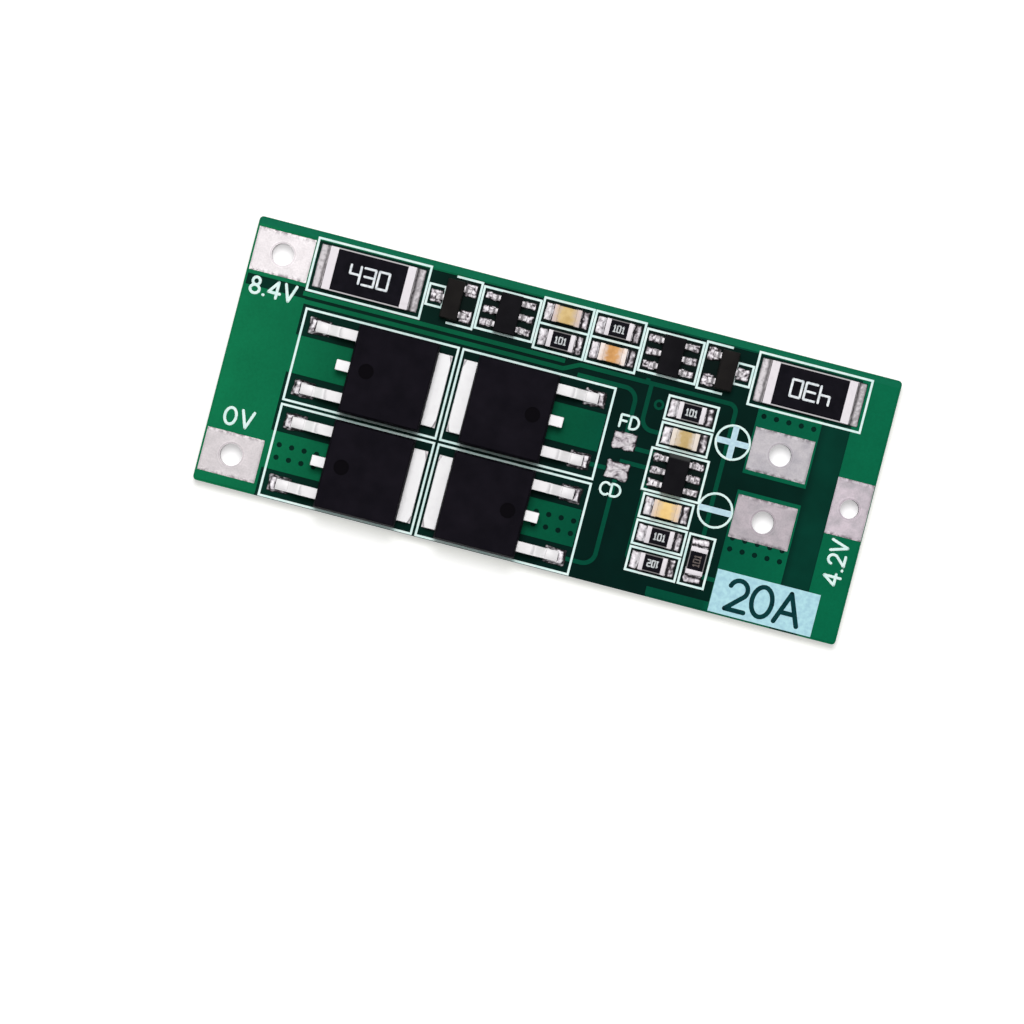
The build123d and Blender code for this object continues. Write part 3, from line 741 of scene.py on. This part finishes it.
# Lands of the wires: a thin uneven coat of tin on each face, with a faint ring round the hole
coat = {
    "cell": 0.07, "rise": 0.03, "edge": 0.16, "lump": 0.8, "lumpRise": 0.02,
    "ringAt": 0.14, "ringWidth": 0.05, "ringRise": 0.016,
    "rimLump": 0.3, "rimRise": 0.05, "rimWidth": 0.3,  # lumps along the two long edges
    "tuck": 0.01, "waver": 0.03, "waverLump": 0.25,  # the outermost row goes under the face and wanders
    "seat": 0.05,  # the lower land is this much thinner, which leaves room for its coat
    "clearance": 0.0002,
    # the lower coat's finer lumps, and the solder in its two rows of small holes
    "fineLump": 0.35,
    "dotPitch": 0.92, "dotRadius": 0.36, "dotInset": 0.2, "dotEdge": 2.2, "dotRise": 0.04,
}
lands = {
    # radius of the wire's hole, tin and its deeper patches; the tin is painted lighter on the pack lands
    # at the left than on the output lands at the right, as light falling off across the board
    "terminal_pack_plus": (0.8, screen(230, 224, 226), screen(218, 212, 214)),
    "terminal_pack_minus": (0.8, screen(210, 203, 205), screen(196, 190, 192)),
    "terminal_output_plus": (0.8, screen(186, 181, 185), screen(168, 164, 170)),
    "terminal_output_minus": (0.8, screen(180, 170, 176), screen(162, 156, 161)),
    "terminal_middle_tap": (0.68, screen(198, 186, 194), screen(172, 165, 171)),
}
upperTin = {
    "patches": 0.9,
    "grain": (0.12, 0.12),
    # the ring's tones at distances from its middle line, in units of 2 mm
    "ring": [(-0.05, grey(0.94)), (-0.03, (0.72, 0.7, 0.72, 1)), (0, grey(1)), (0.04, grey(0.9))],
    # painted highlights and shadow on the lumps along the two long edges
    "rimSize": 0.26,
    "rim": [(0.38, (0.4, 0.38, 0.4, 1)), (0.5, grey(0.9)), (0.6, grey(1.25))],
    # painted shade where the coat slopes; upright faces keep a painted light value
    "slope": [(0.7, (0.45, 0.43, 0.45, 1)), (0.93, grey(1))],
    "slopeBlotches": (0.4, 0.06),
    "upright": 0.88,
    "bump": (0.2, 0.012),
}
lowerTin = {
    "light": screen(172, 160, 167),
    "mid": screen(124, 113, 119),
    "deep": screen(62, 52, 57),
    "dot": screen(226, 224, 222),
    "disc": screen(158, 148, 156),
    "discRadius": 0.3,  # beyond the hole
    "discRim": screen(214, 206, 210),
    "discRimShare": 0.7,
    "brightShare": 0.45,
    "patches": 0.8,
    "bump": (0.2, 0.03),
}


def sheet(low, high, cell):
    # a level grid over the land
    middle = (low + high) / 2
    size = Matrix.Diagonal((high.x - low.x, high.y - low.y, 1, 1))
    mesh = bmesh.new()
    bmesh.ops.create_grid(
        mesh, x_segments=round((high.x - low.x) / cell), y_segments=round((high.y - low.y) / cell), size=0.5,
        matrix=Matrix.Translation((middle.x, middle.y, 0)) @ size,
    )
    return mesh


def makeLand(name, light, deep, box, holeRadius):
    # dull tin, with a faint ring round the hole, painted highlights and shadow on the lumps along two edges,
    # and painted shade where the coat slopes
    material, tree, shader = newTin(name)
    low, high = box
    centre = (low + high) / 2
    patches = ramp(tree, blotches(tree, upperTin["patches"], 4, rough=0.6), (0.34, deep), (0.62, light))
    patches = mottled(tree, patches, *upperTin["grain"])
    ringAt = (holeRadius + coat["ringAt"]) / 2
    away = combine(tree, "MULTIPLY", awayFrom(tree, centre), 0.5)
    ring = ramp(tree, away, *[(ringAt + offset, tone) for offset, tone in upperTin["ring"]])
    patches = blend(tree, 1.0, patches, ring, "MULTIPLY")
    # painted highlights and shadow on the edge lumps
    lumps = ramp(tree, blotches(tree, upperTin["rimSize"], 2), *upperTin["rim"])
    start = (high.y - low.y) / 2 - coat["rimWidth"]
    past = combine(tree, "SUBTRACT", reachOf(tree, 1, centre), start)
    rim = clamped(tree, combine(tree, "DIVIDE", past, coat["rimWidth"]))
    patches = blend(tree, rim, patches, blend(tree, 1.0, patches, lumps, "MULTIPLY"))
    # painted shade by slope
    size, depth = upperTin["slopeBlotches"]
    slope = ramp(tree, slopeOf(tree, size, depth, upright=upperTin["upright"]), *upperTin["slope"])
    coverWith(tree, shader, blend(tree, 1.0, patches, slope, "MULTIPLY"), upperTin["bump"], 0.6, 3)
    return material


def makeLowerLand(name, box, holeRadius, dotted, bright):
    # rough dull solder, bright where it fills the rows of small holes, or round the wire's hole
    material, tree, shader = newTin(name)
    tone = ramp(
        tree, blotches(tree, lowerTin["patches"], 5, rough=0.6),
        (0.36, lowerTin["deep"]), (0.5, lowerTin["mid"]), (0.62, lowerTin["light"]),
    )
    if dotted:
        dots = tree.nodes.new("ShaderNodeAttribute")
        dots.attribute_name = "dot"
        tone = blend(tree, dots.outputs["Fac"], tone, lowerTin["dot"])
    else:
        edge = (holeRadius + lowerTin["discRadius"]) / 2
        away = combine(tree, "MULTIPLY", awayFrom(tree, (box[0] + box[1]) / 2), 0.5)
        disc = ramp(tree, away, (edge, grey(1)), (edge + 0.02, grey(0)))
        rim = ramp(tree, away, (edge - 0.04, grey(0)), (edge, grey(1)), (edge + 0.03, grey(0)))
        tone = blend(tree, disc, tone, lowerTin["disc"])
        rim = combine(tree, "MULTIPLY", rim, lowerTin["discRimShare"])
        tone = blend(tree, rim, tone, lowerTin["discRim"])
    if bright:
        tone = blend(tree, lowerTin["brightShare"], tone, lowerTin["discRim"])
    coverWith(tree, shader, tone, lowerTin["bump"], 0.7, 3)
    return material


def makeCoat(name, holeRadius, material, below, dotted=False):
    # a grid with a round hole, raised into lumps, a ring and dots
    low, high = boxOf(name)
    middle = (low + high) / 2
    mesh = sheet(low, high, coat["cell"])
    dots = mesh.verts.layers.float.new("dot")
    inside = [v for v in mesh.verts if math.hypot(v.co.x - middle.x, v.co.y - middle.y) < holeRadius]
    bmesh.ops.delete(mesh, geom=inside, context="VERTS")
    face = coat["seat"] if below else high.z
    limit = coat["seat"] - coat["clearance"]  # how far a coat may stand off the land
    count = math.floor((high.x - low.x) / coat["dotPitch"]) + 1
    for v in mesh.verts:
        offset = Vector((v.co.x - middle.x, v.co.y - middle.y, 0))
        atHole = v.is_boundary and offset.length < holeRadius + 3 * coat["cell"]
        if atHole:
            offset = offset.normalized() * holeRadius
            v.co.x, v.co.y = middle.x + offset.x, middle.y + offset.y
        x, y = v.co.x, v.co.y
        toSide = min(x - low.x, high.x - x)
        toRim = min(y - low.y, high.y - y)
        inward = min(toSide, toRim)
        dome = 1 - max(0, 1 - inward / coat["edge"]) ** 2
        ring = math.exp(-(((offset.length - holeRadius - coat["ringAt"]) / coat["ringWidth"]) ** 2))
        lump = noise.noise(Vector((x, y, 5)) / coat["lump"])
        rim = max(0, noise.noise(Vector((x, y, 7)) / coat["rimLump"])) * max(0, 1 - toRim / coat["rimWidth"])
        rise = (coat["rise"] + coat["lumpRise"] * lump + coat["rimRise"] * rim) * dome
        rise += coat["ringRise"] * ring
        if below:
            rise += coat["lumpRise"] * noise.noise(Vector((x, y, 2)) / coat["fineLump"]) * dome
            for i in range(count if dotted else 0):
                atX = middle.x + (i - (count - 1) / 2) * coat["dotPitch"]
                away = math.hypot(x - atX, toRim - coat["dotInset"]) / coat["dotRadius"]
                v[dots] = max(v[dots], min(1, coat["dotEdge"] * max(0, 1 - away)))
            rise += coat["dotRise"] * v[dots]
        outermost = inward < 0.01
        rise = -coat["tuck"] if outermost else min(rise, limit)
        v.co.z = face - rise if below else face + rise
        if outermost:
            v.co.y += coat["waver"] * noise.noise(Vector((x, y, 9)) / coat["waverLump"])
    if below:
        bmesh.ops.reverse_faces(mesh, faces=mesh.faces)
    addPiece(mesh, name + ("_coat_below" if below else "_coat"), material, slot="tinned_land", sharp=60)


for name, (holeRadius, light, deep) in lands.items():
    tinned = makeLand(name + "Tin", light, deep, boxOf(name), holeRadius)
    dotted = name.startswith("terminal_pack")
    bright = name == "terminal_middle_tap"
    lowerLand = makeLowerLand(name + "TinBelow", boxOf(name), holeRadius, dotted, bright)
    metal = copyOf(name)
    for v in metal.verts:
        v.co.z = max(v.co.z, coat["seat"])
    addPiece(metal, name + "_sleeve", tinned, [name], "tinned_land")
    makeCoat(name, holeRadius, tinned, False)
    makeCoat(name, holeRadius, lowerLand, True, dotted)

# Small holes that the lower edge of one land half covers
pits = {
    "radius": 0.19, "pitch": 0.92, "count": 5, "outside": 0.04, "height": 1.37, "flatness": 0.15,
    "mask": screen(3, 34, 28), "roughness": 0.5, "gloss": 0.02,
}
low, high = boxOf("terminal_output_minus")
mesh = bmesh.new()
for i in range(pits["count"]):
    x = (low.x + high.x) / 2 + (i - (pits["count"] - 1) / 2) * pits["pitch"]
    place = Vector((x, low.y - pits["outside"], pits["height"]))
    flat = Matrix.Diagonal((1, 1, pits["flatness"], 1))
    bmesh.ops.create_uvsphere(
        mesh, u_segments=14, v_segments=8, radius=pits["radius"], matrix=Matrix.Translation(place) @ flat,
    )
pitMask, _, pitShader = newMaterial("coveredHole", pits["roughness"], gloss=pits["gloss"])
pitShader.inputs["Base Color"].default_value = pits["mask"]
addPiece(mesh, "covered_holes", pitMask, slot="solder_mask")
print("lands done")


# Leads, drain tabs and chip ends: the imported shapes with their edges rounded
rounding = {"powerLead": 0.06, "smallLead": 0.03, "tab": 0.06, "end": 0.12, "endSegments": 4, "endSharp": 60}
for name in [n for n in nodes if n.endswith("_leads")]:
    metal = copyOf(name)
    big = name.startswith("power")
    roundEdges(metal, rounding["powerLead" if big else "smallLead"])
    addPiece(
        metal, name.replace("leads", "tinned_leads"), leadMetal if big else smallLeadMetal, [name],
        "tinned_lead", flat=True,
    )

for name in [n for n in nodes if n.endswith("_drain_tab")]:
    metal = copyOf(name)
    roundEdges(metal, rounding["tab"])
    addPiece(metal, name.replace("drain_tab", "tinned_tab"), tabMetal, [name], "tinned_lead", flat=True)

for name in [n for n in nodes if n.endswith("_terminals") and not n.startswith("capacitor")]:
    metal = copyOf(name)
    roundEdges(metal, rounding["end"], rounding["endSegments"], rounding["endSharp"])
    ending = name.replace("terminals", "plated_ends")
    addPiece(metal, ending, metals["platedEnd"], [name], "tinned_end", flat=True)
print("leads and ends done")


# Moulded bodies
mould = {
    "body": screen(16, 14, 20),
    "bodyLight": screen(24, 21, 28),
    "chip": screen(19, 18, 21),
    "chipLight": screen(27, 26, 29),
    "switch": screen(27, 25, 25),
    "switchLight": screen(36, 34, 33),
    "band": screen(62, 63, 63),
    "bandFrom": 0.28,  # the protection chip's +y end, painted paler as its bevel there catches the lamp
    "bandFade": 0.12,
    # painted shade: the dimple's floor darkened, as shade falls in the recess
    "dimple": (screen(9, 7, 11), 3.58, 3.66),  # the floor of the round dimple and its height
    "roughness": 0.6,
    "gloss": 0.015,
    "mottle": 1.4,
    "grain": (0.06, 0.01),
    "powerRounding": 0.09,
    "chipRounding": 0.05,
    "sharp": 40,  # only edges sharper and longer than these are rounded
    "shortest": 0.3,
}


def makeMould(name, deep, light, band=False):
    material, tree, shader = newMaterial(name, mould["roughness"], gloss=mould["gloss"])
    tone = ramp(tree, blotches(tree, mould["mottle"], 4), (0.3, deep), (0.75, light))
    # painted shade in the dimple
    dimple, dimpleFrom, dimpleTo = mould["dimple"]
    tone = blend(tree, between(tree, along(tree, 2), dimpleFrom, dimpleTo), tone, dimple)
    # painted light: the chip's +y end paler, where its bevel faces the lamp
    if band:
        past = combine(tree, "SUBTRACT", along(tree, 1), mould["bandFrom"] * mm)
        fade = clamped(tree, combine(tree, "DIVIDE", past, mould["bandFade"] * mm))
        tone = blend(tree, fade, tone, mould["band"])
    coverWith(tree, shader, tone, mould["grain"])
    return material


mouldings = {
    "power_transistor_": makeMould("powerMould", mould["body"], mould["bodyLight"]),
    "balance_chip_": makeMould("chipMould", mould["chip"], mould["chipLight"]),
    "protection_chip_": makeMould("protectionMould", mould["chip"], mould["chipLight"], band=True),
    "switch_transistor_": makeMould("switchMould", mould["switch"], mould["switchLight"]),
}
for start, material in mouldings.items():
    for name in [n for n in nodes if n.startswith(start) and n.endswith("_body")]:
        body = copyOf(name)
        width = mould["powerRounding" if start.startswith("power") else "chipRounding"]
        roundEdges(body, width, sharp=mould["sharp"], shortest=mould["shortest"])
        addPiece(body, name.replace("body", "moulding"), material, [name], "black_mould", flat=True)
print("mouldings done")


# Resistors: ceramic with a black glaze, and the value in thin strokes
resistor = {
    "ceramic": screen(196, 192, 194),
    "chipCeramic": screen(132, 129, 130),
    "glaze": screen(15, 14, 20),
    "glazeLight": screen(22, 20, 27),
    # each mark's paint and its deeper blotches
    "mark": (screen(246, 250, 252), screen(214, 220, 226)),
    "chipMark": (screen(222, 226, 228), screen(184, 188, 190)),
    "wornMark": (screen(120, 108, 104), screen(74, 66, 64)),
    "border": 0.09,  # ceramic that shows beside the glaze
    "chipBorder": 0.07,
    "glazeDepth": 0.1,
    "roughness": 0.5,
    "gloss": 0.015,
    "grain": (0.15, 0.01),
    # size of a marking, width of its strokes, and the gap on the scale of the letters' widths
    "marking": ((2.83, 1.22), 0.17, 0.2),
    "chipMarking": ((0.74, 0.46), 0.105, 0.34),
}


def makeGlaze(name, body, upright=False):
    low, high = boxOf(body)
    big = high.y - low.y > 2
    material, tree, shader = newMaterial(name, resistor["roughness"], gloss=resistor["gloss"])
    glaze = ramp(tree, blotches(tree, 0.6, 3), (0.35, resistor["glaze"]), (0.7, resistor["glazeLight"]))
    across = 0 if upright else 1
    reach = reachOf(tree, across, (low + high) / 2)
    half = (high[across] - low[across]) / 2 - resistor["border" if big else "chipBorder"]
    top = combine(tree, "GREATER_THAN", along(tree, 2), (high.z - resistor["glazeDepth"]) * mm)
    glazed = combine(tree, "MULTIPLY", top, combine(tree, "LESS_THAN", reach, half))
    bare = resistor["ceramic" if big else "chipCeramic"]
    coverWith(tree, shader, blend(tree, glazed, bare, glaze), resistor["grain"])
    return material


markPaint = makeInk("valueMark", *resistor["mark"], 0.3)
chipPaint = makeInk("chipValueMark", *resistor["chipMark"], 0.2)
wornPaint = makeInk("wornMark", *resistor["wornMark"], 0.2)
bleedFigures = ["four", "three", "nought"]
chipFigures = ["one", "nought", "one"]
values = {
    # the figures and their turn
    "bleed_resistor_left": (bleedFigures, 0),
    "bleed_resistor_right": (bleedFigures, 180),
    **{"chip_resistor_" + str(i): (chipFigures, 0) for i in (1, 2, 3, 4)},
    "chip_resistor_5": (["one", "nought", "two"], 180),
    "chip_resistor_6": (chipFigures, 90),
}
for name, (figures, turn) in values.items():
    low, high = boxOf(name + "_body")
    big = name.startswith("bleed")
    upright = turn == 90
    dress(name + "_body", makeGlaze(name + "Glaze", name + "_body", upright))
    paint = markPaint if big else wornPaint if upright else chipPaint
    centre = ((low.x + high.x) / 2, (low.y + high.y) / 2)
    size, line, gap = resistor["marking" if big else "chipMarking"]
    lettering(name + "_mark", figures, centre, size, line, paint, turn=turn, gap=gap, height=high.z)
print("resistors done")


# Capacitors: layered ceramic, tan or orange in the middle and paler towards the plated ends
capacitors = {
    # core and its deeper blotches, pale, where the fade starts and ends in millimetres, slot
    "capacitor_1": (
        screen(224, 194, 134), screen(206, 174, 112), screen(206, 190, 188), 0.28, 0.92, "capacitor_tan",
    ),
    "capacitor_2": (
        screen(226, 170, 106), screen(206, 148, 84), screen(232, 220, 214), 0.26, 0.8, "capacitor_orange",
    ),
    "capacitor_3": (
        screen(208, 180, 126), screen(192, 164, 108), screen(222, 211, 200), 0.24, 0.74, "capacitor_tan",
    ),
    "capacitor_4": (
        screen(250, 214, 142), screen(238, 198, 126), screen(216, 198, 184), 0.24, 0.92, "capacitor_orange",
    ),
}
ceramic = {
    "roughness": 0.42, "gloss": 0.1, "mottle": 0.5, "grain": (0.1, 0.006), "rounding": 0.06, "segments": 3,
    "wobble": (0.3, 0.7),  # size and depth of the uneven fade
}
plating = {
    "metallic": 0.15, "gloss": 0.2, "grain": (0.15, 0.008), "slopeBlotches": (0.3, 0.2), "upright": 0.86,
    "slope": [(0.5, tin["endEdge"]), (0.84, grey(0.7)), (0.96, grey(1))],
}


def faded(tree, core, pale, centre, start, end):
    # the core colour in the middle, fading unevenly to the pale one
    size, depth = ceramic["wobble"]
    wobble = combine(tree, "MULTIPLY", combine(tree, "SUBTRACT", blotches(tree, size, 3), 0.5), depth)
    reach = combine(tree, "MULTIPLY", combine(tree, "ADD", reachOf(tree, 0, centre), wobble), 0.5)
    return blend(tree, ramp(tree, reach, (start / 2, grey(0)), (end / 2, grey(1))), core, pale)


for name, (light, deep, pale, start, end, slot) in capacitors.items():
    low, high = boxOf(name + "_body")
    centre = (low + high) / 2
    material, tree, shader = newMaterial(name + "Ceramic", ceramic["roughness"], gloss=ceramic["gloss"])
    core = ramp(tree, blotches(tree, ceramic["mottle"], 3), (0.32, deep), (0.66, light))
    coverWith(tree, shader, faded(tree, core, pale, centre, start, end), ceramic["grain"])
    body = copyOf(name + "_body")
    roundEdges(body, ceramic["rounding"], ceramic["segments"])
    addPiece(body, name + "_ceramic", material, [name + "_body"], slot, flat=True)

    # from above the plating takes on some of the pale colour, and painted shade darkens it over its edges
    material, tree, shader = newMaterial(
        name + "Plating", tin["roughness"], metallic=plating["metallic"], gloss=plating["gloss"],
    )
    size, depth = plating["slopeBlotches"]
    dark = ramp(tree, slopeOf(tree, size, depth, upright=plating["upright"]), *plating["slope"])
    normal = tree.nodes.new("ShaderNodeNewGeometry").outputs["Normal"]
    tone = faded(tree, deep, pale, centre, start, end)
    tone = blend(tree, standing(tree, normal), tone, tin["end"])
    coverWith(tree, shader, blend(tree, 1.0, tone, dark, "MULTIPLY"), plating["grain"])
    metal = copyOf(name + "_terminals")
    roundEdges(metal, rounding["end"], rounding["endSegments"], rounding["endSharp"])
    addPiece(metal, name + "_plated_ends", material, [name + "_terminals"], "tinned_end", flat=True)
print("capacitors done")


# Camera: straight down with a long lens, turned as in the photograph
camera = {
    "turn": 14.53, "aimX": -1.0, "aimY": -6.3, "boardTop": 1.4,
    "width": 73.3,  # what the frame takes in at the height of the board
    "lens": 240.0, "sensor": 36, "clipStart": 0.01, "clipEnd": 20,
}
lens = bpy.data.cameras.new("camera")
lens.lens = camera["lens"]
lens.sensor_width = camera["sensor"]
lens.clip_start = camera["clipStart"]
lens.clip_end = camera["clipEnd"]
eye = bpy.data.objects.new("camera", lens)
bpy.context.scene.collection.objects.link(eye)
away = camera["width"] * mm * camera["lens"] / camera["sensor"]
eye.location = (camera["aimX"] * mm, camera["aimY"] * mm, away + camera["boardTop"] * mm)
eye.rotation_euler = (0, 0, math.radians(camera["turn"]))
bpy.context.scene.camera = eye

# Floor, lamps and a white surround
studio = {
    "floor": 0.8,
    "floorGlow": 0.4,
    "floorSize": 2,
    "floorDrop": 0.03,  # millimetres
    "surround": 0.32,  # strength of the light that it casts
    "lamps": [
        # place in metres, size, watts
        ("keyLamp", (-0.03, 0.12, 0.42), 0.18, 1.25),
        ("fillLamp", (0.10, -0.32, 0.30), 0.3, 0.12),
    ],
}


def seenDirectly(tree):
    # 1 for rays from the camera, also by way of gloss or glass, and 0 for the light that falls on the board
    path = tree.nodes.new("ShaderNodeLightPath")
    seen = combine(tree, "MAXIMUM", path.outputs["Is Camera Ray"], path.outputs["Is Glossy Ray"])
    return combine(tree, "MAXIMUM", seen, path.outputs["Is Transmission Ray"])


def makeFloor():
    mesh = bmesh.new()
    place = Matrix.Translation((0, 0, -studio["floorDrop"] * mm))
    bmesh.ops.create_grid(mesh, x_segments=1, y_segments=1, size=studio["floorSize"], matrix=place)
    data = bpy.data.meshes.new("floor")
    mesh.to_mesh(data)
    mesh.free()
    material, tree, shader = newMaterial("paleFloor", 0.9, gloss=0.0)
    shader.inputs["Base Color"].default_value = grey(studio["floor"])
    glow = combine(tree, "MULTIPLY", seenDirectly(tree), studio["floorGlow"])
    shader.inputs["Emission Color"].default_value = grey(1)
    tree.links.new(glow, shader.inputs["Emission Strength"])
    data.materials.append(material)
    floor = bpy.data.objects.new("floor", data)
    bpy.context.scene.collection.objects.link(floor)


def makeSurround():
    world = bpy.data.worlds.new("surround")
    bpy.context.scene.world = world
    world.use_nodes = True
    tree = world.node_tree
    background = tree.nodes["Background"]
    strength = combine(tree, "MULTIPLY", seenDirectly(tree), 1 - studio["surround"])
    background.inputs["Color"].default_value = grey(1)
    tree.links.new(combine(tree, "ADD", strength, studio["surround"]), background.inputs["Strength"])


def addLamp(name, place, size, watts):
    data = bpy.data.lights.new(name, "AREA")
    data.shape = "DISK"
    data.size = size
    data.energy = watts
    lamp = bpy.data.objects.new(name, data)
    lamp.location = place
    lamp.rotation_euler = (-Vector(place)).to_track_quat("-Z", "Y").to_euler()
    bpy.context.scene.collection.objects.link(lamp)


makeFloor()
makeSurround()
for lamp in studio["lamps"]:
    addLamp(*lamp)
bpy.context.scene.view_settings.view_transform = "Standard"
print("camera, floor and lamps done")
